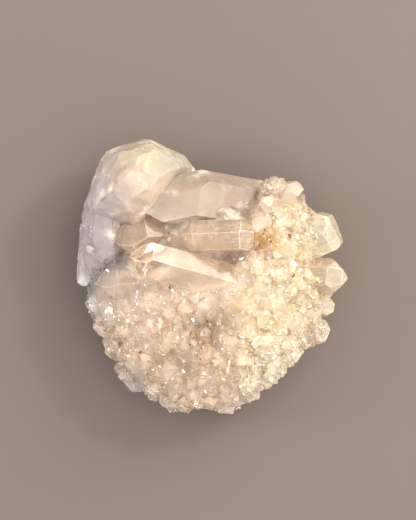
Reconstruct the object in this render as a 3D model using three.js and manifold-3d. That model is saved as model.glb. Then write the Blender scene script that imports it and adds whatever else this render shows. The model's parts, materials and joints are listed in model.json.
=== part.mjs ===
// Quartz cluster: a hand-sized piece of intergrown quartz that rests on its broken underside.
// A domed mass carries a milky broken lump, a set of large crystals that point outwards, and a
// druse of small crystals. It all grew as one piece, so it is joined into one solid.
// Millimetres, +Z up. The origin is on the resting face, and the lump is on the -X, +Y side.
import * as THREE from "three";
import { ConvexGeometry } from "three/addons/geometries/ConvexGeometry.js";
import { mergeVertices } from "three/addons/utils/BufferGeometryUtils.js";
import Module from "manifold-3d";

// The domed mass, as a profile for a rim of average reach: distance from the middle, then height
const MEAN_RIM = 35;
const MASS_PROFILE = [
  [0, 31], [11, 30.5], [20, 28.5], [28, 24], [33, 17.5],
  [34, 11], [31, 5], [26.5, 0.5], [17, -2], [0, -2],
];
const RIM_RADII = [
  33, 33, 36, 35, 29, 28.5, 29, 32, 35, 37, 38, 37.5,
  38.5, 39, 38.5, 38.5, 41, 42, 41, 39.5, 37.5, 36.5, 36, 34,
]; // the rim's own reach, in equal steps counter-clockwise from +X
const MASS_SECTORS = 28;
const MASS_ROWS = 12;
const HOLLOWS = [
  { at: [-22, 12], radius: 10, depth: 6 }, // valley between the lump and the long point
  { at: [4, 6], radius: 9, depth: 4 }, // trough beside the clear crystal
  { at: [-1, -17], radius: 9, depth: 5 }, // stained cavity in the druse
];
const HOLLOW_FADE = 20; // below this height the hollows grow shallow
const RIPPLE_HEIGHT = 1.1;
const RIPPLES = [
  { pace: [0.55, 0.31, 0], shift: 0 },
  { pace: [0, 0.62, -0.47], shift: 1.3 },
  { pace: [0.43, 0, 0.7], shift: 2.1 },
]; // waves that make the mass uneven, radians a millimetre

// The milky broken lump, as its outermost corners
const LUMP_CORNERS = [
  // round its foot, inside the mass
  [-31, 13, 2], [-33, 28, 2], [-24, 37, 1], [-9, 33, 2], [-8, 16, 2],
  // round its widest part
  [-40.8, 15.5, 13], [-40.2, 22, 20], [-36.8, 34, 14], [-34.3, 38, 21], [-29, 41.4, 16],
  [-18, 43, 19], [-12.5, 41.2, 12], [-8.5, 38, 17], [-4.5, 33, 13],
  // round its shoulder
  [-38, 18, 28], [-34, 30, 34], [-28, 38.5, 32], [-19, 40, 33],
  [-9.5, 35, 26], [-15, 33, 35], [-22, 15.5, 26],
  // on top
  [-31.5, 22, 38], [-28, 31, 42], [-21, 32, 41.5], [-19, 24, 38], [-25, 21.5, 39],
];

// Quartz: the end faces stand at this angle to the crystal's length
const END_FACE_ANGLE = THREE.MathUtils.degToRad(38.2);
const PRISM_SIDES = 6;
const SIDE_GROWTH = [0.9, 1.08]; // each side's distance from the axis, as shares of the half width
const LESSER_END = [0.08, 0.22]; // how far every other end face stands back, as shares of the half width

// The large crystals. width is across the flats, apex is how far the point is off the axis as shares of
// the half width (upwards, then sideways), blunt cuts the point off, turn spins it about its length.
const CRYSTALS = {
  broad: { root: [16, 21, 10], tip: [-19, 26.5, 34], width: 15.6, apex: [-0.5, -0.6] },
  clear: { root: [-11, 12, 29], tip: [15.5, 13, 31.5], width: 9, apex: [-0.2, 0.1], blunt: 0.6, turn: 20 },
  valley: { root: [0, 14, 15], tip: [-31, 13, 28], width: 12, apex: [-0.2, -0.2], turn: 8 },
  longPoint: { root: [7, -2.5, 25], tip: [-25.5, 6.5, 36], width: 10.8, apex: [0.1, 0.35], turn: 35 },
  leftPoint: { root: [-10, -2, 21], tip: [-36, -2.3, 26], width: 9.5, apex: [-0.1, 0.1], turn: 12 },
  rightRound: { root: [20, 7, 14], tip: [43, 17.5, 20], width: 13, apex: [0, 0], blunt: 0.8, turn: 30 },
  rightHex: { root: [20, 1, 8], tip: [43, -0.4, 20], width: 10.4, apex: [0.1, 0], blunt: 0.35 },
  rightThird: { root: [20, -6, 14], tip: [39.3, -9, 14.5], width: 7, apex: [0, 0.2], blunt: 0.3, turn: 15 },
  rightFourth: { root: [18, -11, 13], tip: [38, -19, 14], width: 7.4, apex: [0, 0], blunt: 0.5, turn: 5 },
  corner: { root: [16, 17, 15], tip: [27.2, 30.6, 23], width: 7, apex: [0.2, 0.3], blunt: 0.6, turn: 25 },
  cornerTwin: { root: [14, 20, 18], tip: [21.5, 30.2, 24], width: 5.5, apex: [0, 0], blunt: 0.3 },
  paleBlock: { root: [15, 19, 20], tip: [18, 23.2, 33], width: 5.4, apex: [0.2, 0.1], blunt: 0.6, turn: 10 },
  wedge: { root: [10, 12, 22], tip: [17, 18.5, 32], width: 5.8, apex: [-0.3, 0.2], blunt: 0.2, turn: 40 },
  leftEdge: { root: [-38, 16, 14], tip: [-39.4, -3.5, 15], width: 6, apex: [0, 0.2], blunt: 0.2, turn: 10 },
  grey: { root: [-14, -24, 9], tip: [-28.5, -36, 12], width: 8, apex: [0.2, -0.1], blunt: 0.6, turn: 20 },
  greyTwin: { root: [-8, -26, 9], tip: [-20.5, -39.5, 11], width: 7.5, apex: [0.1, 0.2], blunt: 0.6 },
  leftPlate: { root: [-24, -16, 9], tip: [-33.5, -25.5, 9], width: 5, apex: [0, 0], blunt: 0.4 },
};
const CRYSTAL_SEED = 7;

// The druse: rows of small crystals round the dome, each out of line by a share of the pitch
const DRUSE_SEED = 11;
const DRUSE_ROWS = 10;
const DRUSE_PITCH = 7.2;
const DRUSE_REACH = 0.66; // how far down the profile it goes, 0 at the top and 1 at the middle of the base
const DRUSE_JITTER = 0.7;
const DRUSE_WIDTH = [4.8, 8];
const DRUSE_STAND = [1.8, 4.2]; // how far a point stands out of the dome
const DRUSE_ROOT = 4; // how deep a crystal is set in the mass
const DRUSE_LEAN = 0.45; // share of the direction that is left to chance
const DRUSE_APEX = 0.5; // how far the point may be off the axis
const DRUSE_LESSER_END = [0.3, 0.6];
const BARE_ABOVE = 14;
const BARE_SPOTS = [
  { at: [-24, 28], radius: 17 },
  { at: [-7, 24], radius: 13 },
  { at: [5, 24], radius: 9 },
  { at: [2, 13], radius: 10 },
  { at: [-21, 12], radius: 9 },
  { at: [-19, 4], radius: 7 },
  { at: [-10, 2], radius: 6 },
  { at: [-29, -1], radius: 6 },
]; // where the lump and the large crystals leave no room for it, above that height

const FULL_TURN = Math.PI * 2;
const UP = new THREE.Vector3(0, 0, 1);
const NORTH = new THREE.Vector3(0, 1, 0);
const STEEP = 0.9; // an axis with more rise than this takes its upper side from NORTH
const SLOPE_STEP = 0.01; // the step along the mass that its slope is read over
const SAME_POINT = 1e-3; // corners closer than this are one corner
const FACE_SLACK = 1e-5;
const PARALLEL = 1e-4;
const CUTTER_SIZE = 200;

const wasm = await Module();
wasm.setup();

// Repeatable chance: a small generator that always gives the same numbers for a seed
function chance(seed) {
  const factor = 16807;
  const modulus = 2147483647;
  let state = seed;
  return () => {
    state = (state * factor) % modulus;
    return state / modulus;
  };
}

function between([low, high], share) {
  return low + (high - low) * share;
}

// A number up to the reach either way
function either(reach, random) {
  return reach * (2 * random() - 1);
}

// A closed three.js geometry as a solid that can be joined and cut
function solidFrom(geometry) {
  const bare = geometry.clone();
  bare.deleteAttribute("normal");
  bare.deleteAttribute("uv");
  const merged = mergeVertices(bare, SAME_POINT);
  return new wasm.Manifold(
    new wasm.Mesh({
      numProp: 3,
      vertProperties: merged.attributes.position.array,
      triVerts: new Uint32Array(merged.index.array),
    }),
  );
}

// A finished solid as a three.js geometry
function geometryFrom(solid) {
  const mesh = solid.getMesh();
  const geometry = new THREE.BufferGeometry();
  geometry.setAttribute("position", new THREE.BufferAttribute(mesh.vertProperties, mesh.numProp));
  geometry.setIndex(new THREE.BufferAttribute(mesh.triVerts, 1));
  geometry.computeVertexNormals();
  return geometry;
}

// The rim's reach at an angle, eased from one listed radius to the next
function rimRadius(angle) {
  const count = RIM_RADII.length;
  const place = ((angle / FULL_TURN + 1) % 1) * count;
  const first = Math.floor(place);
  const share = THREE.MathUtils.smoothstep(place - first, 0, 1);
  return between([RIM_RADII[first % count], RIM_RADII[(first + 1) % count]], share);
}

const massProfile = new THREE.SplineCurve(MASS_PROFILE.map(([x, y]) => new THREE.Vector2(x, y)));

function hollowDepth(x, y) {
  return HOLLOWS.reduce((sum, { at, radius, depth }) => {
    const away = Math.hypot(x - at[0], y - at[1]) / radius;
    return sum + depth * Math.exp(-2 * away * away);
  }, 0);
}

// A point on the domed mass: the angle round it, and how far down its profile
function massPoint(angle, down) {
  const { x: reach, y: height } = massProfile.getPoint(down);
  const radius = (reach * rimRadius(angle)) / MEAN_RIM;
  const point = new THREE.Vector3(Math.cos(angle) * radius, Math.sin(angle) * radius, height);
  point.z -= hollowDepth(point.x, point.y) * THREE.MathUtils.clamp(height / HOLLOW_FADE, 0, 1);
  const waves = RIPPLES.map(({ pace, shift }) => Math.sin(point.dot(new THREE.Vector3(...pace)) + shift));
  const rise = (RIPPLE_HEIGHT * (waves[0] + waves[1] + waves[2])) / RIPPLES.length;
  return point.setLength(point.length() + rise);
}

function massNormal(angle, down) {
  const round = massPoint(angle + SLOPE_STEP, down).sub(massPoint(angle - SLOPE_STEP, down));
  const along = massPoint(angle, down + SLOPE_STEP).sub(massPoint(angle, down - SLOPE_STEP));
  return along.cross(round).normalize();
}

// The domed mass: a sphere whose rows follow the profile and whose sectors follow the rim
function massSolid() {
  const geometry = new THREE.SphereGeometry(1, MASS_SECTORS, MASS_ROWS).rotateX(Math.PI / 2);
  const position = geometry.getAttribute("position");
  const onSphere = new THREE.Vector3();
  for (let i = 0; i < position.count; i++) {
    onSphere.fromBufferAttribute(position, i);
    const down = Math.acos(THREE.MathUtils.clamp(onSphere.z, -1, 1)) / Math.PI;
    const point = massPoint(Math.atan2(onSphere.y, onSphere.x), down);
    position.setXYZ(i, point.x, point.y, point.z);
  }
  return solidFrom(geometry);
}

function lumpSolid() {
  return solidFrom(new ConvexGeometry(LUMP_CORNERS.map((corner) => new THREE.Vector3(...corner))));
}

// The point where three flat faces meet, or nothing where two of them are parallel
function meetingPoint(a, b, c) {
  const rows = [a, b, c].flatMap(({ normal }) => normal.toArray());
  const matrix = new THREE.Matrix3().set(...rows);
  if (Math.abs(matrix.determinant()) < PARALLEL) return null;
  return new THREE.Vector3(a.distance, b.distance, c.distance).applyMatrix3(matrix.invert());
}

// The corners that a set of flat faces leaves, each face a normal and its distance from the origin
function cornersOf(faces) {
  const corners = [];
  faces.forEach((a, i) => {
    faces.slice(i + 1).forEach((b, j) => {
      for (const c of faces.slice(i + j + 2)) {
        const corner = meetingPoint(a, b, c);
        if (!corner || faces.some((face) => face.normal.dot(corner) > face.distance + FACE_SLACK)) continue;
        if (corners.every((other) => other.distanceTo(corner) > SAME_POINT)) corners.push(corner);
      }
    });
  });
  return corners;
}

// One quartz crystal from root to tip: six sides and six end faces that meet at the apex, uneven as grown
function crystalSolid({ root, tip, width, apex, blunt = 0, turn = 0, lesser = LESSER_END }, random) {
  const from = new THREE.Vector3(...root);
  const axis = new THREE.Vector3(...tip).sub(from);
  const length = axis.length();
  axis.normalize();
  const half = width / 2;
  const apexPoint = new THREE.Vector3(apex[0] * half, apex[1] * half, length);
  const faces = [{ normal: UP.clone().negate(), distance: 0 }];
  for (let side = 0; side < PRISM_SIDES; side++) {
    const angle = (side / PRISM_SIDES) * FULL_TURN;
    const outward = new THREE.Vector3(Math.cos(angle), Math.sin(angle), 0);
    faces.push({ normal: outward, distance: half * between(SIDE_GROWTH, random()) });
    const normal = outward.clone().multiplyScalar(Math.cos(END_FACE_ANGLE));
    normal.z = Math.sin(END_FACE_ANGLE);
    const back = side % 2 ? half * between(lesser, random()) : 0;
    faces.push({ normal, distance: normal.dot(apexPoint) + back });
  }
  if (blunt) faces.push({ normal: UP, distance: length - blunt * half });

  const upper = (Math.abs(axis.z) > STEEP ? NORTH : UP).clone().projectOnPlane(axis).normalize();
  const pose = new THREE.Matrix4()
    .makeBasis(upper, axis.clone().cross(upper), axis)
    .multiply(new THREE.Matrix4().makeRotationZ(THREE.MathUtils.degToRad(turn)))
    .setPosition(from);
  return solidFrom(new ConvexGeometry(cornersOf(faces)).applyMatrix4(pose));
}

function isBare({ x, y, z }) {
  return z > BARE_ABOVE && BARE_SPOTS.some(({ at, radius }) => Math.hypot(x - at[0], y - at[1]) < radius);
}

// One small crystal of the druse, with a size and a lean of its own
function druseCrystal(angle, down, random) {
  const foot = massPoint(angle, down);
  const lean = new THREE.Vector3(
    either(DRUSE_LEAN, random), either(DRUSE_LEAN, random), either(DRUSE_LEAN, random),
  );
  const direction = massNormal(angle, down).add(lean).normalize();
  return {
    foot,
    root: foot.clone().addScaledVector(direction, -DRUSE_ROOT).toArray(),
    tip: foot.clone().addScaledVector(direction, between(DRUSE_STAND, random())).toArray(),
    width: between(DRUSE_WIDTH, random()),
    apex: [either(DRUSE_APEX, random), either(DRUSE_APEX, random)],
    turn: between([0, 360 / PRISM_SIDES], random()),
    lesser: DRUSE_LESSER_END,
  };
}

function druseSolids() {
  const random = chance(DRUSE_SEED);
  const solids = [];
  for (let row = 0; row < DRUSE_ROWS; row++) {
    const rowDown = (DRUSE_REACH * (row + 0.5)) / DRUSE_ROWS;
    const places = Math.round((FULL_TURN * massProfile.getPoint(rowDown).x) / DRUSE_PITCH);
    for (let place = 0; place < places; place++) {
      const angle = (FULL_TURN * (place + either(DRUSE_JITTER / 2, random))) / places;
      const down = rowDown + either((DRUSE_JITTER * DRUSE_REACH) / DRUSE_ROWS / 2, random);
      const crystal = druseCrystal(angle, down, random);
      if (!isBare(crystal.foot)) solids.push(crystalSolid(crystal, random));
    }
  }
  return solids;
}

// Joins everything that grew together and cuts it off flat where it rests
function clusterGeometry() {
  const random = chance(CRYSTAL_SEED);
  const crystals = Object.values(CRYSTALS).map((crystal) => crystalSolid(crystal, random));
  let cluster = massSolid().add(lumpSolid());
  for (const solid of [...crystals, ...druseSolids()]) cluster = cluster.add(solid);
  const below = new THREE.BoxGeometry(CUTTER_SIZE, CUTTER_SIZE, CUTTER_SIZE);
  cluster = cluster.subtract(solidFrom(below.translate(0, 0, -CUTTER_SIZE / 2)));
  const [outerSkin] = cluster.decompose().sort((a, b) => b.volume() - a.volume());
  return geometryFrom(outerSkin);
}

const quartz = new THREE.MeshStandardMaterial({ color: 0xe2cfbb, roughness: 0.25, metalness: 0 });

const cluster = new THREE.Group();
const quartzCluster = new THREE.Mesh(clusterGeometry(), quartz);
quartzCluster.name = "quartz_cluster";
cluster.add(quartzCluster);

export default cluster;
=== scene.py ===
import json
import math

import bmesh
import bpy
import numpy as np
from mathutils import Matrix, Vector, noise
from mathutils.bvhtree import BVHTree

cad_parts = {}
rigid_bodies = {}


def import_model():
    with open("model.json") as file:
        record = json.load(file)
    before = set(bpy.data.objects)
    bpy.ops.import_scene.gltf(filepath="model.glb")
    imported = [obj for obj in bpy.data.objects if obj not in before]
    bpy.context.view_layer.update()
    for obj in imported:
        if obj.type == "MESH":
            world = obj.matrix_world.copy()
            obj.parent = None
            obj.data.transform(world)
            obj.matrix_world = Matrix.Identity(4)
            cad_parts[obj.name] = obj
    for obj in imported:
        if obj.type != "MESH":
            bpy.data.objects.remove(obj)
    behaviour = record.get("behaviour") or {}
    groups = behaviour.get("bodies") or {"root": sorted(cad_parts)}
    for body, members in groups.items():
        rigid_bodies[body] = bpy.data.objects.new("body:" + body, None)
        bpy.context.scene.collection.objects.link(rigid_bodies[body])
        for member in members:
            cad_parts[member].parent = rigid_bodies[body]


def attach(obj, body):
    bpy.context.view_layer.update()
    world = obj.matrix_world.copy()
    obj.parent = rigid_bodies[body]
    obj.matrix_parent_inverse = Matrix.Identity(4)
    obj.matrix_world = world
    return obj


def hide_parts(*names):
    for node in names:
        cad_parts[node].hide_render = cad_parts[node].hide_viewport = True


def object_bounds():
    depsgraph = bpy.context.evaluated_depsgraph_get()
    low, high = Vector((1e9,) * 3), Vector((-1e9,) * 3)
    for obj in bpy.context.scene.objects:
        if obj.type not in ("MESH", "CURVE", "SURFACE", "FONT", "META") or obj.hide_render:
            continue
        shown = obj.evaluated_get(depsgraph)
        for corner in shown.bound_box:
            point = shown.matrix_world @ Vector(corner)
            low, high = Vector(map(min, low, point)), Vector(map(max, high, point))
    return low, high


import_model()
cadLow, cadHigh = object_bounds()
mm = 0.001  # sizes below are in millimetres, and meshes are made in metres
fullTurn = 2 * math.pi
up = Vector((0, 0, 1))
north = Vector((0, 1, 0))
skyHeight = 100  # rays fall on the cluster from here
print("frame loaded, box in mm:", [round(v / mm, 1) for v in cadHigh - cadLow])


# Repeatable chance, the same numbers for the same seed
chanceStep = 16807
chancePrime = 2147483647


def chance(seed):
    state = seed
    while True:
        state = state * chanceStep % chancePrime
        yield state / chancePrime


def between(limits, share):
    return limits[0] + (limits[1] - limits[0]) * share


def either(reach, draw):
    return reach * (2 * next(draw) - 1)


def smoothShare(share):
    share = min(max(share, 0), 1)
    return share * share * (3 - 2 * share)


# The domed mass that everything grows from
dome = {
    "meanRim": 35,
    "profile": [  # distance from the middle and height, from the top down to under the base
        (0, 31), (11, 30.5), (20, 28.5), (28, 24), (33, 17.5),
        (34, 11), (31, 5), (26.5, 0.5), (17, -2), (0, -2),
    ],
    "rim": [  # the rim's reach, counter-clockwise from +X
        33, 33, 36, 35, 29, 28.5, 29, 32, 35, 37, 38, 37.5,
        38.5, 39, 38.5, 38.5, 41, 42, 41, 39.5, 37.5, 36.5, 36, 34,
    ],
    "hollows": [((-22, 12), 10, 6), ((4, 6), 9, 4), ((-1, -17), 9, 5)],  # place, radius, depth
    "hollowFade": 20,
    "rippleHeight": 1.1,
    "ripples": [((0.55, 0.31, 0), 0), ((0, 0.62, -0.47), 1.3), ((0.43, 0, 0.7), 2.1)],
    "slopeStep": 0.01,
    "sectors": 180,
    "rings": 100,
    "grainHeight": 0.5,  # small broken relief on top of the ripples
    "grainPace": 0.55,
    "swell": 0.7,  # fine growth between the crystals
    "sharpAngle": 60,
    "clarity": 0.75,
}


def profilePoint(down):
    points = dome["profile"]
    last = len(points) - 1
    place = last * down
    first = min(int(place), last)
    share = place - first
    p0, p1, p2, p3 = (Vector(points[min(max(first + step, 0), last)]) for step in (-1, 0, 1, 2))
    leave = (p2 - p0) / 2
    arrive = (p3 - p1) / 2
    cubic = (p1 - p2) * 2 + leave + arrive
    square = (p2 - p1) * 3 - leave * 2 - arrive
    return ((cubic * share + square) * share + leave) * share + p1


def rimRadius(angle):
    rim = dome["rim"]
    place = angle / fullTurn % 1 * len(rim)
    first = int(place)
    return between((rim[first % len(rim)], rim[(first + 1) % len(rim)]), smoothShare(place - first))


def domePoint(angle, down):
    reach, height = profilePoint(down)
    radius = reach * rimRadius(angle) / dome["meanRim"]
    point = Vector((math.cos(angle) * radius, math.sin(angle) * radius, height))
    fade = min(max(height / dome["hollowFade"], 0), 1)
    for (x, y), wide, depth in dome["hollows"]:
        away = math.hypot(point.x - x, point.y - y) / wide if fade else 0
        point.z -= depth * math.exp(-2 * away * away) * fade
    waves = sum(math.sin(point.dot(Vector(pace)) + shift) for pace, shift in dome["ripples"])
    rise = dome["rippleHeight"] * waves / len(dome["ripples"])
    return point * ((point.length + rise) / point.length)


def domeNormal(angle, down):
    step = dome["slopeStep"]
    around = domePoint(angle + step, down) - domePoint(angle - step, down)
    along = domePoint(angle, down + step) - domePoint(angle, down - step)
    return along.cross(around).normalized()


# Quartz grows with six sides and end faces at this angle to its length
quartz = {
    "endFaceAngle": math.radians(38.2),
    "sides": 6,
    "sideGrowth": (0.9, 1.08),
    "lesserEnd": (0.08, 0.22),
    "steep": 0.9,
    "turn": 60,  # degrees until the sides repeat
    "blockSize": 4,  # the block that a crystal is cut from, in lengths and widths
    "thinCut": 1e-5,
    "crumb": 200,  # fewest points of a piece that is kept in a join
}


def cutFace(bm, normal, distance):
    everything = bm.verts[:] + bm.edges[:] + bm.faces[:]
    cut = bmesh.ops.bisect_plane(
        bm, geom=everything, dist=quartz["thinCut"], plane_co=normal * distance, plane_no=normal,
        clear_outer=True,
    )
    rim = [e for e in cut["geom_cut"] if isinstance(e, bmesh.types.BMEdge)]
    if rim:
        bmesh.ops.contextual_create(bm, geom=rim)


# One crystal as a bmesh along its own Z, from a block cut by its sides and end faces
def growCrystal(
    length, width, apex, draw, blunt=0, lesser=quartz["lesserEnd"], bevel=0, rootEnd=False, ridges=None
):
    half = width / 2
    block = quartz["blockSize"] * (length + width)
    bm = bmesh.new()
    bmesh.ops.create_cube(bm, size=block, matrix=Matrix.Translation((0, 0, block / 2)))
    point = Vector((apex[0] * half, apex[1] * half, length))
    for side in range(quartz["sides"]):
        angle = side / quartz["sides"] * fullTurn
        outward = Vector((math.cos(angle), math.sin(angle), 0))
        cutFace(bm, outward, half * between(quartz["sideGrowth"], next(draw)))
        normal = outward * math.cos(quartz["endFaceAngle"]) + up * math.sin(quartz["endFaceAngle"])
        back = half * between(lesser, next(draw)) if side % 2 else 0
        cutFace(bm, normal, normal.dot(point) + back)
        if rootEnd:
            cutFace(bm, normal.reflect(up), back)
    if blunt:
        cutFace(bm, up, length - blunt * half)
    bmesh.ops.recalc_face_normals(bm, faces=bm.faces)
    if ridges is not None:
        for edge in bm.edges:
            first, second = (v.co.copy() for v in edge.verts)
            ridges.append((first, second, -sum((f.normal for f in edge.link_faces), Vector()).normalized()))
    if bevel:
        cut = bmesh.ops.bevel(
            bm, geom=bm.edges[:], offset=bevel, segments=1, profile=0.5,
            affect="EDGES", material=-1, clamp_overlap=True,
        )
        for face in cut["faces"]:
            face.material_index = 1  # bevel faces are told apart from the faces, to be made milkier as painted edge highlights
    return bm


def crystalPose(root, axis, turn):
    guide = north if abs(axis.z) > quartz["steep"] else up
    upper = (guide - axis * guide.dot(axis)).normalized()
    basis = Matrix((upper, axis.cross(upper), axis)).transposed().to_4x4()
    return Matrix.Translation(root) @ basis @ Matrix.Rotation(math.radians(turn), 4, "Z")


# Crystals are gathered as arrays of points and faces, with a clarity, a grain and a frost for each face
def arraysOf(bm):
    bm.verts.index_update()
    points = np.array([v.co for v in bm.verts])
    faces = [[v.index for v in f.verts] for f in bm.faces]
    bm.free()
    return points, faces


def placed(arrays, pose, size=1):
    matrix = np.array(pose)
    return arrays[0] * size @ matrix[:3, :3].T + matrix[:3, 3], arrays[1]


def newMesh(name, arrays, clarity, grain, frost):
    mesh = bpy.data.meshes.new(name)
    mesh.from_pydata(arrays[0].tolist(), [], arrays[1])
    return markMesh(mesh, clarity, grain, frost)


def joinArrays(parts):
    starts = np.cumsum([0] + [len(points) for points, faces in parts])
    faces = [[v + start for v in face] for (points, shape), start in zip(parts, starts) for face in shape]
    return np.concatenate([points for points, faces in parts]), faces


def markMesh(mesh, clarity, grain, frost):
    for layer, value in (("clarity", clarity), ("grain", grain), ("frost", frost)):
        attribute = mesh.attributes.new(layer, "FLOAT", "FACE")
        attribute.data.foreach_set("value", np.full(len(mesh.polygons), value, dtype=np.float32))
    return mesh


def meshOf(name, bm, sharpAngle):
    bmesh.ops.recalc_face_normals(bm, faces=bm.faces)
    mesh = bpy.data.meshes.new(name)
    bm.to_mesh(mesh)
    bm.free()
    mesh.shade_smooth()
    mesh.set_sharp_from_angle(angle=math.radians(sharpAngle))
    return mesh


# A join can leave crumbs and closed pinholes behind
def dropCrumbs(mesh):
    bm = bmesh.new()
    bm.from_mesh(mesh)
    left = set(bm.verts)
    crumbs = []
    while left:
        fresh = {left.pop()}
        island = set(fresh)
        while fresh:
            fresh = {e.other_vert(v) for v in fresh for e in v.link_edges} - island
            island |= fresh
        left -= island
        if len(island) < quartz["crumb"]:
            crumbs += island
    bmesh.ops.delete(bm, geom=crumbs, context="VERTS")
    bm.to_mesh(mesh)
    bm.free()


# Joins overlapping closed meshes in one closed surface
def unite(name, meshes):
    group = bpy.data.collections.new(name + "_parts")
    bpy.context.scene.collection.children.link(group)
    for mesh in meshes[1:]:
        group.objects.link(bpy.data.objects.new(mesh.name, mesh))
    base = bpy.data.objects.new(name + "_base", meshes[0])
    bpy.context.scene.collection.objects.link(base)
    join = base.modifiers.new("join", "BOOLEAN")
    join.operation = "UNION"
    join.solver = "MANIFOLD"
    join.operand_type = "COLLECTION"
    join.collection = group
    graph = bpy.context.evaluated_depsgraph_get()
    joined = bpy.data.meshes.new_from_object(base.evaluated_get(graph), depsgraph=graph)
    for piece in [base, *group.objects]:
        bpy.data.objects.remove(piece)
    bpy.data.collections.remove(group)
    bpy.data.batch_remove(meshes)
    joined.name = name
    dropCrumbs(joined)
    return joined


def placePiece(name, mesh, material):
    mesh.transform(Matrix.Scale(mm, 4))
    mesh.materials.clear()
    mesh.materials.append(material)
    piece = bpy.data.objects.new(name, mesh)
    bpy.context.scene.collection.objects.link(piece)
    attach(piece, "root")
    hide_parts("quartz_cluster")
    mesh.calc_loop_triangles()
    print(name, "has", len(mesh.loop_triangles), "triangles")


def addNode(tree, kind, inputs=None, **settings):
    made = tree.nodes.new(kind)
    for name, value in settings.items():
        setattr(made, name, value)
    for name, value in (inputs or {}).items():
        if isinstance(value, bpy.types.NodeSocket):
            tree.links.new(value, made.inputs[name])
        else:
            made.inputs[name].default_value = value
    return made


def mixColour(tree, share, first, second, blend="MIX"):
    mix = addNode(tree, "ShaderNodeMix", data_type="RGBA", blend_type=blend)
    for socket, value in zip((mix.inputs[0], mix.inputs[6], mix.inputs[7]), (share, first, second)):
        if isinstance(value, bpy.types.NodeSocket):
            tree.links.new(value, socket)
        else:
            socket.default_value = value
    return mix.outputs[2]


# Colour by place, the same for every piece
tint = {
    "ground": (0.98, 0.86, 0.72),
    "inClear": 0.7,
    "inCore": 0.9,
    "bendScale": 180,
    "bend": 0.9,  # how far the noise bends the edge of a zone
    "mottleScale": 260,
    "mottleFrom": (0.45, 0.68),
    "mottle": 0.55,
    "lumpMottle": 0.15,
    "grain": 0.35,  # how much browner some crystals are than others
    "mottleColour": (0.80, 0.66, 0.52),
    "fade": (0.45, 1.1),
    "zones": [  # centre and reach in mm, colour, strength
        ((-22, 32, 30), (24, 20, 40), (0.44, 0.365, 0.295), 1.0),  # milky lump
        ((-21, 38, 36), (10, 6, 14), (0.45, 0.385, 0.275), 0.8),  # yellowish top of the lump
        ((-10, 36, 24), (8, 8, 18), (0.36, 0.34, 0.28), 0.9),  # greenish far side of the lump
        ((-25, 20, 30), (10, 5, 20), (0.40, 0.31, 0.24), 0.7),  # front of the lump
        ((-2, 24, 28), (19, 10, 30), (0.47, 0.35, 0.26), 1.0),  # broad crystal
        ((7, 31, 25), (14, 6, 20), (0.36, 0.26, 0.18), 0.9),  # back of the broad crystal
        # The lilac zones on the left are partly painted cool shade, on the flank turned away from the key
        # light
        ((-40, 4, 20), (14, 24, 40), (0.88, 0.84, 0.88), 0.9),  # lilac left side
        ((-39, 15, 22), (17, 24, 40), (0.42, 0.375, 0.37), 1.0),  # lilac flank of the lump
        ((-36, 8, 24), (12, 16, 20), (0.365, 0.32, 0.32), 0.9),  # milky slope
        ((16, -15, 24), (20, 26, 30), (1.0, 0.89, 0.66), 0.8),  # warm yellow druse
        ((30, 8, 20), (18, 26, 30), (1.0, 0.91, 0.70), 0.8),  # cream right side
        # pale lower right is partly painted light, on a flank that the lamps light less
        ((20, -27, 14), (16, 14, 24), (1.0, 0.93, 0.77), 0.9),  # pale lower right
        ((-6, -27, 20), (18, 11, 26), (0.86, 0.70, 0.53), 0.8),  # brownish lower druse
        ((-3, -16, 24), (13, 11, 14), (0.66, 0.48, 0.30), 0.45),  # stained cavity
        ((-9, -26, 20), (9, 6, 12), (0.66, 0.49, 0.34), 0.7),  # stained hollow below it
        ((-3, 7, 24), (24, 10, 11), (0.60, 0.44, 0.31), 0.9),  # stained trough
        ((-8, 0, 31), (13, 3.5, 9), (0.62, 0.49, 0.39), 0.9),  # lower side of the long point
        ((3, 13, 34), (15, 5.5, 7), (0.66, 0.56, 0.47), 0.8),  # clear crystal
        ((15.5, 11, 26), (5.5, 5, 9), (0.76, 0.46, 0.06), 0.9),  # rust patch
        ((-24, -35, 10), (9, 8, 12), (0.74, 0.71, 0.69), 0.8),  # grey lower left
        ((-22, 13, 22), (10, 7, 14), (0.74, 0.57, 0.43), 0.8),  # brown valley
        ((-28, -3, 22), (13, 7, 12), (0.80, 0.66, 0.55), 0.8),  # left point
    ],
}


def addZone(tree, place, bend, colour, centre, reach, zoneColour, strength):
    offset = addNode(tree, "ShaderNodeVectorMath", {0: place, 1: Vector(centre) * mm}, operation="SUBTRACT")
    spread = addNode(
        tree, "ShaderNodeVectorMath", {0: offset.outputs[0], 1: Vector(reach) * mm}, operation="DIVIDE"
    )
    away = addNode(tree, "ShaderNodeVectorMath", {0: spread.outputs[0]}, operation="LENGTH")
    bent = addNode(tree, "ShaderNodeMath", {0: away.outputs["Value"], 1: bend}, operation="ADD")
    share = addNode(
        tree, "ShaderNodeMapRange",
        {
            "Value": bent.outputs[0], "From Min": tint["fade"][0], "From Max": tint["fade"][1],
            "To Min": strength, "To Max": 0,
        },
        interpolation_type="SMOOTHSTEP",
    )
    return mixColour(tree, share.outputs[0], colour, (*zoneColour, 1))


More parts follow.
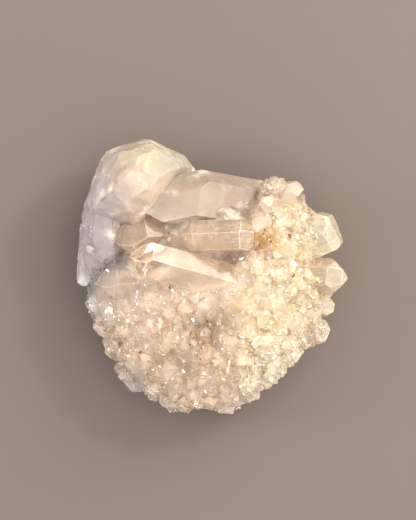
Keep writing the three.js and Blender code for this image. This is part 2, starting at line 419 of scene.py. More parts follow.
def tintGroup():
    tree = bpy.data.node_groups.new("quartzTint", "ShaderNodeTree")
    tree.interface.new_socket("Color", in_out="OUTPUT", socket_type="NodeSocketColor")
    tree.interface.new_socket("Mottle", in_out="INPUT", socket_type="NodeSocketFloat")
    mottleMost = addNode(tree, "NodeGroupInput").outputs[0]
    place = addNode(tree, "ShaderNodeTexCoord").outputs["Object"]
    cloud = addNode(tree, "ShaderNodeTexNoise", {"Vector": place, "Scale": tint["bendScale"], "Detail": 5})
    bend = addNode(
        tree, "ShaderNodeMapRange",
        {"Value": cloud.outputs[0], "To Min": -tint["bend"], "To Max": tint["bend"]},
    ).outputs[0]
    fleck = addNode(tree, "ShaderNodeTexNoise", {"Vector": place, "Scale": tint["mottleScale"], "Detail": 7})
    mottle = addNode(
        tree, "ShaderNodeMapRange",
        {
            "Value": fleck.outputs[0], "From Min": tint["mottleFrom"][0], "From Max": tint["mottleFrom"][1],
            "To Max": mottleMost,
        },
    ).outputs[0]
    colour = (*tint["ground"], 1)
    for centre, reach, zoneColour, strength in tint["zones"]:
        colour = addZone(tree, place, bend, colour, centre, reach, zoneColour, strength)
    colour = mixColour(tree, mottle, colour, (*tint["mottleColour"], 1), "MULTIPLY")
    out = addNode(tree, "NodeGroupOutput")
    tree.links.new(colour, out.inputs[0])
    return tree


quartzTint = tintGroup()
glass = {"ior": 1.544}


def newMaterial(name, values):
    material = bpy.data.materials.new(name)
    material.use_nodes = True
    tree = material.node_tree
    shader = tree.nodes["Principled BSDF"]
    shader.inputs["IOR"].default_value = glass["ior"]
    for socket, value in values.items():
        shader.inputs[socket].default_value = value
    return material, tree, shader


def addTint(tree, mottle):
    group = addNode(tree, "ShaderNodeGroup", node_tree=quartzTint)
    group.inputs[0].default_value = mottle
    return group.outputs[0]


# Clear quartz takes less of the tint than milky quartz does
def paintClearTint(tree, shader, clarity):
    share = addNode(tree, "ShaderNodeMapRange", {"Value": clarity, "To Min": 1.0, "To Max": tint["inClear"]})
    colour = mixColour(tree, share.outputs[0], (1, 1, 1, 1), addTint(tree, tint["mottle"]))
    grain = addNode(tree, "ShaderNodeAttribute", attribute_name="grain").outputs["Fac"]
    browner = addNode(tree, "ShaderNodeMapRange", {"Value": grain, "From Min": 0.5, "To Max": tint["grain"]})
    colour = mixColour(tree, browner.outputs[0], colour, (*tint["mottleColour"], 1), "MULTIPLY")
    tree.links.new(colour, shader.inputs["Base Color"])


def addBump(tree, shader, scale, distance, strength, detail=3):
    place = addNode(tree, "ShaderNodeTexCoord").outputs["Object"]
    relief = addNode(tree, "ShaderNodeTexNoise", {"Vector": place, "Scale": scale, "Detail": detail})
    bump = addNode(
        tree, "ShaderNodeBump", {"Height": relief.outputs[0], "Distance": distance * mm, "Strength": strength}
    )
    tree.links.new(bump.outputs[0], shader.inputs["Normal"])


core = {
    "sink": 0.3,
    "sectors": 90,
    "rings": 50,
    "brown": (0.62, 0.44, 0.28),
    "mottles": [(140, 0.3), (520, 0.4)],  # scale and share
    "mottleFrom": (0.48, 0.66),
}


def milkyMaterial():
    material, tree, shader = newMaterial("milky_quartz", {"Roughness": 0.4})
    colour = mixColour(tree, tint["inCore"], (1, 1, 1, 1), addTint(tree, tint["mottle"]))
    place = addNode(tree, "ShaderNodeTexCoord").outputs["Object"]
    for scale, share in core["mottles"]:
        fleck = addNode(tree, "ShaderNodeTexNoise", {"Vector": place, "Scale": scale, "Detail": 4})
        mask = addNode(
            tree, "ShaderNodeMapRange",
            {
                "Value": fleck.outputs[0], "To Max": share,
                "From Min": core["mottleFrom"][0], "From Max": core["mottleFrom"][1],
            },
        )
        colour = mixColour(tree, mask.outputs[0], colour, (*core["brown"], 1))
    tree.links.new(colour, shader.inputs["Base Color"])
    return material


# Thin clouds inside the large crystals, and the white flakes of the painted edge highlights, which don't bend
# light
def wispMaterial():
    return newMaterial("wisp_quartz", {
        "Base Color": (0.97, 0.93, 0.88, 1), "Roughness": 0.5, "Transmission Weight": 0.45, "IOR": 1.0,
    })[0]


def lumpMaterial():
    material, tree, shader = newMaterial("lump_quartz", {
        "Roughness": 0.2, "Subsurface Weight": 1.0, "Subsurface Radius": (1.0, 0.97, 0.93),
        "Subsurface Scale": 0.008,
    })
    tree.links.new(addTint(tree, tint["lumpMottle"]), shader.inputs["Base Color"])
    addBump(tree, shader, scale=600, distance=0.2, strength=0.4)
    return material


def massMaterial():
    material, tree, shader = newMaterial("druse_quartz", {})
    clarity = addNode(tree, "ShaderNodeAttribute", attribute_name="clarity").outputs["Fac"]
    tree.links.new(clarity, shader.inputs["Transmission Weight"])
    frost = addNode(tree, "ShaderNodeAttribute", attribute_name="frost").outputs["Fac"]
    tree.links.new(frost, shader.inputs["Roughness"])
    paintClearTint(tree, shader, clarity)
    addTilts(tree, shader)
    absorption = addNode(tree, "ShaderNodeVolumeAbsorption", {"Color": (0.86, 0.70, 0.56, 1), "Density": 15})
    tree.links.new(absorption.outputs[0], tree.nodes["Material Output"].inputs["Volume"])
    return material


tilts = {"cells": 1300, "druse": 0.14, "waves": 220, "large": 0.05, "middle": (0.5, 0.5, 0.5)}


# The druse tilts a little cell by cell, and the large faces are gently wavy
def addTilts(tree, shader):
    place = addNode(tree, "ShaderNodeTexCoord").outputs["Object"]
    cells = addNode(tree, "ShaderNodeTexVoronoi", {"Vector": place, "Scale": tilts["cells"]})
    waves = addNode(tree, "ShaderNodeTexNoise", {"Vector": place, "Scale": tilts["waves"], "Detail": 2})
    grain = addNode(tree, "ShaderNodeAttribute", attribute_name="grain").outputs["Fac"]
    normal = addNode(tree, "ShaderNodeNewGeometry").outputs["Normal"]
    for pattern, onLarge, onDruse in ((cells, 0, tilts["druse"]), (waves, tilts["large"], 0)):
        lean = addNode(
            tree, "ShaderNodeVectorMath", {0: pattern.outputs["Color"], 1: tilts["middle"]},
            operation="SUBTRACT",
        )
        size = addNode(
            tree, "ShaderNodeMapRange",
            {"Value": grain, "From Min": -0.1, "From Max": 0.0, "To Min": onLarge, "To Max": onDruse},
        )
        share = addNode(
            tree, "ShaderNodeVectorMath", {0: lean.outputs[0], "Scale": size.outputs[0]}, operation="SCALE"
        )
        leaned = addNode(tree, "ShaderNodeVectorMath", {0: normal, 1: share.outputs[0]}, operation="ADD")
        normal = leaned.outputs[0]
    level = addNode(tree, "ShaderNodeVectorMath", {0: normal}, operation="NORMALIZE")
    tree.links.new(level.outputs[0], shader.inputs["Normal"])


rust = newMaterial("rust", {"Base Color": (0.22, 0.08, 0.012, 1), "Roughness": 0.6})[0]
milkyQuartz = milkyMaterial()
wispQuartz = wispMaterial()
lumpQuartz = lumpMaterial()
massQuartz = massMaterial()
print("materials ready")


# Dome
def buildDome(name, sink, sectors, rings):
    bm = bmesh.new()
    bmesh.ops.create_uvsphere(bm, u_segments=sectors, v_segments=rings, radius=1)
    for vert in bm.verts:
        down = math.acos(min(max(vert.co.z, -1), 1)) / math.pi
        point = domePoint(math.atan2(vert.co.y, vert.co.x), down)
        rise = dome["grainHeight"] * noise.noise(point * dome["grainPace"]) - sink
        vert.co = point * ((point.length + rise) / point.length)
    cutFace(bm, -up, -max(sink, 0))
    return meshOf(name, bm, dome["sharpAngle"])


# Milky lump
lump = {
    "corners": [
        (-31, 13, 2), (-33, 28, 2), (-24, 37, 1), (-9, 33, 2), (-8, 16, 2),  # foot
        (-40.8, 15.5, 13), (-40.2, 22, 20), (-36.8, 34, 14), (-34.3, 38, 21), (-29, 41.4, 16),
        (-18, 43, 19), (-12.5, 41.2, 12), (-8.5, 38, 17), (-4.5, 33, 13),  # widest part
        (-38, 18, 28), (-34, 30, 34), (-28, 38.5, 32), (-19, 40, 33), (-9.5, 35, 26),
        (-15, 33, 35), (-22, 15.5, 26),  # shoulder
        (-31.5, 22, 38), (-28, 31, 42), (-21, 32, 41.5), (-19, 24, 38), (-25, 21.5, 39),  # top
    ],
    "seed": 57,
    "chips": 90,
    "chipDepth": (0.05, 0.8),
    "bevel": 0.3,
    "weld": 0.05,
    "passes": 3,
    "swells": [(0.6, 0.12), (0.3, 0.4), (0.1, 1.1)],  # height and pace
    "sink": 0.3,
    "sharpAngle": 30,
}
# Milky slope at the foot of the lump
slope = {
    **lump,
    "corners": [
        (-38, -1, 8), (-27, 2, 10), (-27, 20, 10), (-38, 22, 8),  # foot
        (-40.9, 20, 16), (-41.2, 9, 16), (-40.8, 2, 14), (-39, -3, 13), (-34, -1, 18),  # left flank
        (-38.5, 20, 25), (-37, 8, 24.5), (-36, 3, 22), (-31, 18, 29), (-30.5, 10, 27), (-31, 4, 25),
        (-36.5, 24, 29), (-30, 22, 31), (-26, 16, 25), (-26.5, 8, 22),  # top
    ],
    "seed": 83,
    "chips": 50,
    "passes": 4,
}


def hullOf(points):
    bm = bmesh.new()
    for point in points:
        bm.verts.new(point)
    bmesh.ops.remove_doubles(bm, verts=bm.verts[:], dist=lump["weld"])
    bmesh.ops.convex_hull(bm, input=bm.verts[:])
    bmesh.ops.delete(bm, geom=[v for v in bm.verts if not v.link_faces], context="VERTS")
    return bm


def buildLump(spec):
    bm = hullOf(spec["corners"])
    draw = chance(spec["seed"])
    for chip in range(spec["chips"]):  # broken faces
        facing = Vector((either(1, draw), either(1, draw), next(draw))).normalized()
        reach = max(facing.dot(v.co) for v in bm.verts)
        cutFace(bm, facing, reach - between(spec["chipDepth"], next(draw)))
    bmesh.ops.bevel(
        bm, geom=bm.edges[:], offset=spec["bevel"], segments=1, profile=0.5,
        affect="EDGES", material=-1, clamp_overlap=True,
    )
    bevelled = [v.co.copy() for v in bm.verts]
    bm.free()
    bm = hullOf(bevelled)
    for step in range(spec["passes"]):
        bmesh.ops.subdivide_edges(bm, edges=bm.edges[:], cuts=1, use_grid_fill=True)
    bm.normal_update()
    for vert in bm.verts:
        rise = sum(height * noise.noise(vert.co * pace) for height, pace in spec["swells"])
        vert.co += vert.normal * (rise - spec["sink"])
    return meshOf("milky_lump", bm, spec["sharpAngle"])


# Large crystals, each from its root to its tip
large = {
    "seed": 7,
    "bevel": 0.15,
    "faceSpread": 0.35,  # how much less clear some faces of the clearer crystals are
    "spreadFrom": 0.75,
    # the bevel faces of the large crystals are milkier, as painted edge highlights
    "edgeHighlightClarity": 0.66,
    "doubleEnded": ("clear",),
    "overgrown": ("cornerTwin",),
    "crystals": {  # root, tip, width, apex, blunt, turn, clarity, frost
        "broad": ((16, 21, 10), (-19, 26.5, 34), 15.6, (-0.5, -0.6), 0, 0, 0.47, 0.12),
        "clear": ((-11, 12, 29), (15.5, 13, 31.5), 9, (-0.2, 0.1), 0.6, 20, 0.97, 0.03),
        "valley": ((0, 14, 15), (-31, 13, 28), 12, (-0.2, -0.2), 0, 22, 0.88, 0.05),
        "longPoint": ((7, -2.5, 25), (-25.5, 6.5, 36), 10.8, (0.1, -0.07), 0, 35, 0.98, 0.02),
        "leftPoint": ((-10, -2, 21), (-36, -2.3, 26), 9.5, (-0.1, 0.1), 0, 30, 0.88, 0.05),
        "rightRound": ((20, 7, 14), (43, 17.5, 20), 13, (0, 0), 0.8, 30, 0.77, 0.08),
        "rightHex": ((20, 1, 8), (43, -0.4, 20), 10.4, (0.1, 0), 0.35, 0, 0.75, 0.1),
        "rightThird": ((20, -6, 14), (39.3, -9, 14.5), 7, (0, 0.2), 0.3, 15, 0.75, 0.1),
        "rightFourth": ((18, -11, 13), (38, -19, 14), 7.4, (0, 0), 0.5, 5, 0.77, 0.08),
        "corner": ((16, 17, 15), (27.2, 30.6, 23), 7, (0.2, 0.3), 0.6, 25, 0.7, 0.1),
        "cornerTwin": ((14, 20, 18), (21.5, 30.2, 24), 5.5, (0, 0), 0.3, 0, 0.7, 0.1),
        "paleBlock": ((15, 19, 20), (18, 23.2, 33), 5.4, (0.2, 0.1), 0.6, 10, 0.75, 0.08),
        "wedge": ((10, 12, 22), (17, 18.5, 32), 5.8, (-0.3, 0.2), 0.2, 40, 0.8, 0.05),
        "leftEdge": ((-38, 16, 14), (-39.4, -3.5, 15), 6, (0, 0.2), 0.2, 10, 0.35, 0.1),
        "grey": ((-14, -24, 9), (-28.5, -36, 12), 8, (0.2, -0.1), 0.6, 20, 0.75, 0.1),
        "greyTwin": ((-8, -26, 9), (-20.5, -39.5, 11), 7.5, (0.1, 0.2), 0.6, 0, 0.75, 0.1),
        "leftPlate": ((-24, -16, 9), (-33.5, -25.5, 9), 5, (0, 0), 0.4, 0, 0.75, 0.1),
    },
}

# Clouds of thin flakes on a few planes in each large crystal, as healed cracks are
wisps = {
    "seed": 91,
    "clarity": 0.6,  # crystals clearer than this have them
    "planes": 3,
    "flakes": 24,
    "along": (0.25, 0.95),
    "aside": 0.2,
    "reach": 0.5,
    "jitter": 0.3,
    "size": (0.12, 1.0),
    "sizeSkew": 3,
    "long": (0.3, 1.0),
    "thin": 0.12,
    "margin": 0.3,
    "streaks": 16,
    "streakLength": (1.0, 4.5),
    "streakWidth": (0.05, 0.12),
    "streakOff": (0.25, 0.44),
    "streakTilt": 0.12,
}


def facePlanes(arrays):
    corners = [[Vector(arrays[0][v]) for v in face[:3]] for face in arrays[1]]
    normals = [(b - a).cross(c - a).normalized() for a, b, c in corners]
    return np.array(normals), np.array([n.dot(trio[0]) for n, trio in zip(normals, corners)])


def growWisps(arrays, pose, length, width, flake, draw):
    normals, offsets = facePlanes(arrays)
    parts = []
    for plane in range(wisps["planes"]):
        centre = Vector([either(wisps["aside"] * width, draw) for side in range(2)] + [0])
        centre.z = length * between(wisps["along"], next(draw))
        facing = Vector([either(1, draw) for side in range(3)]).to_track_quat("Z", "Y").to_matrix().to_4x4()
        sheet = Matrix.Translation(centre) @ facing
        for place in range(wisps["flakes"]):
            angle = fullTurn * next(draw)
            away = wisps["reach"] * width * math.sqrt(next(draw))
            off = either(wisps["jitter"], draw)
            spot = sheet @ Vector((away * math.cos(angle), away * math.sin(angle), off))
            size = between(wisps["size"], next(draw) ** wisps["sizeSkew"])
            if (normals @ np.array(spot) - offsets).max() > -wisps["margin"] - size:
                continue
            turn = Matrix.Rotation(fullTurn * next(draw), 4, "Z")
            across = size * between(wisps["long"], next(draw))
            shape = Matrix.Diagonal((size, across, size * wisps["thin"], 1))
            parts.append(placed(flake, pose @ Matrix.Translation(spot) @ facing @ turn @ shape))
    for streak in range(wisps["streaks"]):  # fine lines along the length
        angle = fullTurn * next(draw)
        away = width * between(wisps["streakOff"], next(draw))
        height = length * between(wisps["along"], next(draw))
        spot = Vector((away * math.cos(angle), away * math.sin(angle), height))
        lie = Vector((either(wisps["streakTilt"], draw), either(wisps["streakTilt"], draw), 1)).normalized()
        half = between(wisps["streakLength"], next(draw))
        thick = between(wisps["streakWidth"], next(draw))
        ends = np.array([spot + lie * half, spot - lie * half])
        if (ends @ normals.T - offsets).max() > -thick:
            continue
        facing = lie.to_track_quat("Z", "Y").to_matrix().to_4x4()
        shape = Matrix.Diagonal((thick, thick, half, 1))
        parts.append(placed(flake, pose @ Matrix.Translation(spot) @ facing @ shape))
    return parts


# White flakes set just inside the edges of the large crystals show as broken white lines, painted edge
# highlights
chips = {
    "spacing": 0.7,
    "half": (0.2, 0.9),
    "thick": (0.04, 0.1),
    "inset": (0.22, 0.38),
    "clarity": 0.45,
}


def edgeHighlightFlakes(ridges, pose, flake, draw):
    parts = []
    for first, second, inward in ridges:
        reach = (second - first).length
        facing = (second - first).to_track_quat("Z", "Y").to_matrix().to_4x4()
        for chip in range(int(reach / chips["spacing"])):
            half = min(between(chips["half"], next(draw)), reach / 4)
            spot = first.lerp(second, between((half / reach, 1 - half / reach), next(draw)))
            thick = between(chips["thick"], next(draw))
            sunk = Matrix.Translation(spot + inward * between(chips["inset"], next(draw)))
            parts.append(placed(flake, pose @ sunk @ facing @ Matrix.Diagonal((thick, thick, half, 1))))
    return parts


def buildLarge():
    draw = chance(large["seed"])
    wispDraw = chance(wisps["seed"])
    flakeShape = bmesh.new()
    bmesh.ops.create_icosphere(flakeShape, subdivisions=1, radius=1)
    flake = arraysOf(flakeShape)
    crystals = {}
    clouds = []
    for name, (root, tip, width, apex, blunt, turn, clarity, frost) in large["crystals"].items():
        axis = Vector(tip) - Vector(root)
        rootEnd = name in large["doubleEnded"]
        ridges = []
        bm = growCrystal(
            axis.length, width, apex, draw, blunt=blunt, bevel=large["bevel"], rootEnd=rootEnd, ridges=ridges
        )
        pose = crystalPose(Vector(root), axis.normalized(), turn)
        bevelled = np.array([f.material_index for f in bm.faces]) == 1
        arrays = arraysOf(bm)
        grain = 0 if name in large["overgrown"] else -1
        spread = large["faceSpread"] * max(clarity - large["spreadFrom"], 0)
        faceClarity = clarity - spread * np.array([next(wispDraw) for face in arrays[1]])
        faceClarity[bevelled] = min(clarity, large["edgeHighlightClarity"])
        crystals[name] = newMesh(name, placed(arrays, pose), faceClarity, grain, frost)
        if clarity > chips["clarity"]:
            clouds += edgeHighlightFlakes(ridges, pose, flake, wispDraw)
        if clarity > wisps["clarity"]:
            clouds += growWisps(arrays, pose, axis.length, width, flake, wispDraw)
    return crystals, newMesh("wisps", joinArrays(clouds), 0, -1, 0)


# Druse: the larger crystals in rows over the dome, with finer ones on and between them
bareSpots = {
    "above": 14,
    "spots": [  # place and radius
        ((-24, 28), 17), ((-7, 24), 13), ((5, 24), 9), ((2, 13), 10),
        ((-21, 12), 9), ((-19, 4), 7), ((-10, 2), 6), ((-29, -1), 6),
    ],
}
druseFrost = 0.06
mainDruse = {
    "seed": 11, "grainSeed": 13, "rows": 10, "pitch": 7.2, "reach": 0.66, "jitter": 0.7, "width": (4.8, 8),
    "stand": (1.8, 4.2), "root": 4, "lean": 0.45, "apex": 0.5, "lesserEnd": (0.3, 0.6), "bevel": 0.12,
    "clarity": (0.64, 0.82),
}
smallDruse = {
    "seed": 23, "count": 2600, "width": (0.9, 4.4), "skew": 1.9, "stand": (0.1, 0.36), "lean": 0.7,
    "upright": 1,
    "dusted": [((29, 13), 4.5), ((29, 1), 4), ((28, -9), 4), ((29, -15), 4)],  # place and radius
    "keepOff": [((-33, -2.3), 4.5), ((-26, -2.3), 5.5), ((-35, 14), 7), ((-36, 6), 6)],
    "bare": 0.8, "forms": 30, "length": 1.1, "apex": 0.5, "above": 4, "clarity": (0.7, 0.85),
}
# Long thin crystals that lie almost flat on the druse
blades = {
    **smallDruse, "seed": 61, "count": 300, "width": (0.4, 1.3), "stand": (1.4, 3.6), "lean": 1,
    "upright": 0.3, "length": 4.4, "above": 19, "clarity": (0.72, 0.95),
}
# Milkier, whiter druse at the lower right: painted light on a flank that the lamps light less
paintedLightSpot = {"place": (20, -27), "radius": 18, "drop": 0.25}  # milkier druse


def clarityAt(point, limits, share):
    away = math.hypot(point.x - paintedLightSpot["place"][0], point.y - paintedLightSpot["place"][1]) / paintedLightSpot["radius"]
    return between(limits, share) - paintedLightSpot["drop"] * max(1 - away, 0)


def isBare(point, shrink=1):
    return point.z > bareSpots["above"] and any(
        math.hypot(point.x - x, point.y - y) < radius * shrink for (x, y), radius in bareSpots["spots"]
    )


def drusePlaces(spec, draw):
    for row in range(spec["rows"]):
        rowDown = spec["reach"] * (row + 0.5) / spec["rows"]
        places = round(fullTurn * profilePoint(rowDown).x / spec["pitch"])
        for place in range(places):
            angle = fullTurn * (place + either(spec["jitter"] / 2, draw)) / places
            yield angle, rowDown + either(spec["jitter"] * spec["reach"] / spec["rows"] / 2, draw)


def buildMainDruse():
    draw = chance(mainDruse["seed"])
    grains = chance(mainDruse["grainSeed"])
    meshes = []
    for angle, down in drusePlaces(mainDruse, draw):
        foot = domePoint(angle, down)
        lean = Vector([either(mainDruse["lean"], draw) for axis in range(3)])
        axis = (domeNormal(angle, down) + lean).normalized()
        stand = between(mainDruse["stand"], next(draw))
        width = between(mainDruse["width"], next(draw))
        apex = [either(mainDruse["apex"], draw) for side in range(2)]
        turn = quartz["turn"] * next(draw)
        if isBare(foot):
            continue
        bm = growCrystal(
            stand + mainDruse["root"], width, apex, draw,
            lesser=mainDruse["lesserEnd"], bevel=mainDruse["bevel"],
        )
        pose = crystalPose(foot - axis * mainDruse["root"], axis, turn)
        clarity = clarityAt(foot, mainDruse["clarity"], next(grains))
        meshes.append(newMesh("druse", placed(arraysOf(bm), pose), clarity, next(grains), druseFrost))
    return meshes


def placeKey(triangle):
    return [round(value, 3) for value in triangle.center]


# Seeds small crystals over the faces of what has grown already
def seedCrystals(ground, spec, allowed):
    draw = chance(spec["seed"])
    forms = []
    for form in range(spec["forms"]):
        apex = [either(spec["apex"], draw) for side in range(2)]
        forms.append(arraysOf(growCrystal(spec["length"], 1, apex, draw, lesser=mainDruse["lesserEnd"])))
    ground.calc_loop_triangles()
    triangles = [t for t in ground.loop_triangles if t.center.z > spec["above"] and allowed(t)]
    triangles.sort(key=placeKey)  # a join doesn't always number its faces alike
    reach = np.cumsum([t.area for t in triangles])
    low = np.array(cadLow) / mm
    high = np.array(cadHigh) / mm
    meshes = []
    for place in range(spec["count"]):
        triangle = triangles[int(np.searchsorted(reach, next(draw) * reach[-1]))]
        a, b, c = sorted((ground.vertices[v].co for v in triangle.vertices), key=tuple)
        across = math.sqrt(next(draw))
        along = next(draw)
        foot = a * (1 - across) + b * across * (1 - along) + c * across * along
        lean = Vector([either(spec["lean"], draw) for side in range(3)])
        lean -= triangle.normal * lean.dot(triangle.normal)
        axis = (triangle.normal * spec["upright"] + lean).normalized()
        width = between(spec["width"], next(draw) ** spec["skew"])
        stand = width * between(spec["stand"], next(draw))
        turn = quartz["turn"] * next(draw)
        form = int(next(draw) * spec["forms"])
        clarity = clarityAt(foot, spec["clarity"], next(draw))
        grain = next(draw)
        pose = crystalPose(foot + axis * (stand - spec["length"] * width), axis, turn)
        arrays = placed(forms[form], pose, width)
        if (arrays[0] < low).any() or (arrays[0] > high).any():
            continue
        meshes.append(newMesh("grain", arrays, clarity, grain, druseFrost))
    return meshes


# Sugary quartz
sugar = {
    "seed": 43, "count": 2300, "width": (0.45, 1.5), "skew": 1.5, "stand": (0.15, 0.6), "lean": 0.8,
    "upright": 1,
    "forms": 12, "length": 1.1, "apex": 0.5, "above": 8, "clarity": (0.3, 0.8),
}
lumpSugar = {**sugar, "seed": 53, "count": 240, "width": (0.5, 1.4), "stand": (0.04, 0.2), "flank": 0.75}
slopeSugar = {**lumpSugar, "seed": 47, "count": 420, "width": (0.5, 2.2), "west": -27, "north": 19}


def onFlank(triangle):
    return triangle.normal.z < lumpSugar["flank"]


def onSlope(triangle):
    return triangle.center.x < slopeSugar["west"] and triangle.center.y < slopeSugar["north"]


def buildLumpSugar(ground):
    return seedCrystals(ground, lumpSugar, onFlank) + seedCrystals(ground, slopeSugar, onSlope)


def buildSmallDruse(ground):
    grain = np.zeros(len(ground.polygons), dtype=np.float32)
    ground.attributes["grain"].data.foreach_get("value", grain)

    def allowed(triangle):
        x, y, z = triangle.center
        dusted = any(math.hypot(x - a, y - b) < radius for (a, b), radius in smallDruse["dusted"])
        off = any(math.hypot(x - a, y - b) < radius for (a, b), radius in smallDruse["keepOff"])
        grown = dusted or grain[triangle.polygon_index] >= 0
        return grown and not off and not isBare(triangle.center, smallDruse["bare"])

    return [mesh for spec in (smallDruse, blades, sugar) for mesh in seedCrystals(ground, spec, allowed)]


# Small faces that catch a light
glints = {
    "size": (2.2, 1.2, 2.0),
    "rise": 0.3,
    "clarity": 0.6,
    "frost": 0.03,
    "faces": [  # place, size share, spin in degrees, and the light that each one throws to the viewer above
        ((25, 4), 1.0, 10, "lamp"), ((27, 2), 0.6, 80, "lamp"), ((30, -3), 0.6, 30, "lamp"),
        ((30, -9), 0.9, 65, "lamp"), ((20, -25), 1.0, 120, "lamp"), ((17, -20), 0.6, 100, "lamp"),
        ((22, -16), 0.5, 40, "lamp"), ((-6, -13), 0.5, 0, "lamp"), ((5, -33), 0.5, 20, "lamp"),
        ((14, 2), 0.5, 50, "lamp"), ((-33, 14), 0.5, 15, "fill"), ((-32, 2), 0.6, 70, "fill"),
        ((-12, -4), 0.6, 30, "fill"), ((-2, -35), 0.7, 45, "fill"), ((-26, -21), 0.4, 0, "fill"),
        ((9, -9), 0.35, 25, "lamp"), ((13, -13), 0.4, 75, "lamp"), ((-17, -15), 0.35, 10, "lamp"),
        ((-23, -9), 0.45, 55, "lamp"), ((3, -22), 0.35, 90, "lamp"), ((-15, -33), 0.4, 35, "lamp"),
        ((10, -37), 0.35, 5, "lamp"), ((27, -20), 0.4, 60, "lamp"), ((22, 15), 0.35, 20, "lamp"),
        ((-2, -7), 0.4, 80, "lamp"), ((-20, -27), 0.35, 45, "fill"), ((-30, -12), 0.4, 15, "fill"),
        ((-8, -38), 0.35, 70, "fill"), ((-19, -21), 0.35, 30, "fill"), ((6, -5), 0.35, 0, "fill"),
    ],
}


def buildGlints(ground):
    tree = BVHTree.FromPolygons([v.co for v in ground.vertices], [p.vertices for p in ground.polygons])
    places = {name: Vector(place) for name, place, size, watts, colour in stage["lights"]}
    block = bmesh.new()
    bmesh.ops.create_cube(block, size=1)
    arrays = arraysOf(block)
    meshes = []
    for (x, y), size, spin, light in glints["faces"]:
        spot = tree.ray_cast(Vector((x, y, skyHeight)), -up)[0]
        facing = (places[light].normalized() + up).to_track_quat("Z", "Y").to_matrix().to_4x4()
        shape = Matrix.Diagonal((*(Vector(glints["size"]) * size), 1))
        sink = Matrix.Translation((0, 0, glints["rise"] - glints["size"][2] * size / 2))
        pose = Matrix.Translation(spot) @ facing @ Matrix.Rotation(math.radians(spin), 4, "Z") @ sink @ shape
        meshes.append(newMesh("glint", placed(arrays, pose), glints["clarity"], -1, glints["frost"]))
    return meshes


# Flecks of rust, in the stained places and a few alone
rustFlecks = {
    "seed": 71,
    "alone": [
        (24, 12.5), (25, 0.5), (-13, -3), (-33, -16.5), (-28.5, -21), (-22, -23), (0, -26.5), (-13, 33.5),
    ],
    "patches": [((15.5, 11), 4, 18), ((1, -16.5), 4, 12), ((-6, -23), 5, 6)],  # place, radius, count
    "aloneSize": (0.6, 1.1),
    "size": (0.25, 0.85),
    "flat": (0.3, 1.0),
    "sink": 0.3,
}


def buildFlecks(ground):
    draw = chance(rustFlecks["seed"])
    tree = BVHTree.FromPolygons([v.co for v in ground.vertices], [p.vertices for p in ground.polygons])
    places = [(place, rustFlecks["aloneSize"]) for place in rustFlecks["alone"]]
    for (x, y), radius, count in rustFlecks["patches"]:
        for fleck in range(count):
            angle = fullTurn * next(draw)
            away = radius * math.sqrt(next(draw))
            place = (x + away * math.cos(angle), y + away * math.sin(angle))
            places.append((place, rustFlecks["size"]))
    joined = bmesh.new()
    for (x, y), sizes in places:
        spot, normal = tree.ray_cast(Vector((x, y, skyHeight)), -up)[:2]
        size = between(sizes, next(draw))
        if spot is None:
            continue
        flat = Matrix.Diagonal([size * between(rustFlecks["flat"], next(draw)) for side in range(3)]).to_4x4()
        turn = Matrix.Rotation(fullTurn * next(draw), 4, Vector((next(draw), next(draw), next(draw))))
        pose = Matrix.Translation(spot - normal * size * rustFlecks["sink"]) @ turn @ flat
        bmesh.ops.create_icosphere(joined, subdivisions=1, radius=1, matrix=pose)
    mesh = bpy.data.meshes.new("rust_flecks")
    joined.to_mesh(mesh)
    joined.free()
    return mesh


# Floor, lights and camera
stage = {
    "floorSize": 3.0,
    "floorColour": (0.134, 0.109, 0.095),
    "worldColour": (1.0, 0.96, 0.91),
    "world": 1.3,
    "lights": [  # name, place, size, watts, colour
        ("window", (0.5, 0.5, 0.38), 0.6, 5.8, (1.0, 0.93, 0.83)),
        ("lamp", (0.42, 0.3, 0.5), 0.1, 1.6, (1.0, 0.95, 0.86)),
        ("overhead", (0.7, -0.3, 0.85), 1.6, 8.0, (1.0, 0.96, 0.90)),
        ("fill", (-0.7, 0.1, 0.4), 0.18, 2.2, (0.90, 0.93, 1.0)),
    ],
    "cameraHeight": 0.8,
    "cameraPlace": (-1.24, 5.27),
    "focusHeight": 20,
    "pixel": 0.31,
    "pixelsHigh": 520,
}


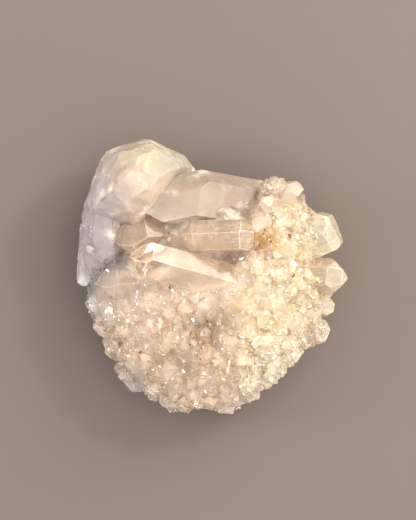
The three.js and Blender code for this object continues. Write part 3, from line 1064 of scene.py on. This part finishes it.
def buildStage():
    bm = bmesh.new()
    bmesh.ops.create_grid(bm, x_segments=1, y_segments=1, size=stage["floorSize"] / 2)
    mesh = bpy.data.meshes.new("floor")
    bm.to_mesh(mesh)
    bm.free()
    floor = bpy.data.objects.new("floor", mesh)
    bpy.context.scene.collection.objects.link(floor)
    paint = {"Base Color": (*stage["floorColour"], 1), "Roughness": 0.8}
    mesh.materials.append(newMaterial("floor", paint)[0])
    for name, place, size, watts, colour in stage["lights"]:
        lamp = bpy.data.lights.new(name, "AREA")
        lamp.size = size
        lamp.energy = watts
        lamp.color = colour
        light = bpy.data.objects.new(name, lamp)
        light.location = place
        light.rotation_euler = (-Vector(place)).to_track_quat("-Z", "Y").to_euler()
        bpy.context.scene.collection.objects.link(light)
    world = bpy.data.worlds.new("studio")
    world.use_nodes = True
    world.node_tree.nodes["Background"].inputs["Color"].default_value = (*stage["worldColour"], 1)
    world.node_tree.nodes["Background"].inputs["Strength"].default_value = stage["world"]
    bpy.context.scene.world = world


def buildCamera():
    camera = bpy.data.cameras.new("camera")
    span = stage["pixel"] * stage["pixelsHigh"] * mm
    camera.lens = camera.sensor_width * (stage["cameraHeight"] - stage["focusHeight"] * mm) / span
    view = bpy.data.objects.new("camera", camera)
    view.location = (stage["cameraPlace"][0] * mm, stage["cameraPlace"][1] * mm, stage["cameraHeight"])
    bpy.context.scene.collection.objects.link(view)
    bpy.context.scene.camera = view


crystals, clouds = buildLarge()
print("large crystals grown:", len(crystals))
ground = buildDome("dome", -dome["swell"], dome["sectors"], dome["rings"])
markMesh(ground, dome["clarity"], 0, druseFrost)
leftEdge = crystals.pop("leftEdge")
ground = unite("ground", [ground, *crystals.values(), *buildMainDruse()])
print("ground joined")
mass = unite("druse_mass", [ground, *buildSmallDruse(ground), *buildGlints(ground)])
flecks = buildFlecks(mass)
milky = unite("milky", [buildLump(lump), buildLump(slope), leftEdge])
placePiece("druse_mass", mass, massQuartz)
placePiece("milky_lump", unite("milky_lump", [milky, *buildLumpSugar(milky)]), lumpQuartz)
placePiece("rust_flecks", flecks, rust)
placePiece("wisps", clouds, wispQuartz)
placePiece("milky_core", buildDome("milky_core", core["sink"], core["sectors"], core["rings"]), milkyQuartz)

buildStage()
buildCamera()
print("floor, lights and camera placed")

scene = bpy.context.scene
scene.view_settings.view_transform = "Standard"
scene.cycles.use_denoising = True
scene.cycles.denoiser = "OPENIMAGEDENOISE"
scene.cycles.max_bounces = 24
scene.cycles.diffuse_bounces = 12
scene.cycles.glossy_bounces = 8
scene.cycles.transmission_bounces = 24
scene.cycles.sample_clamp_indirect = 6
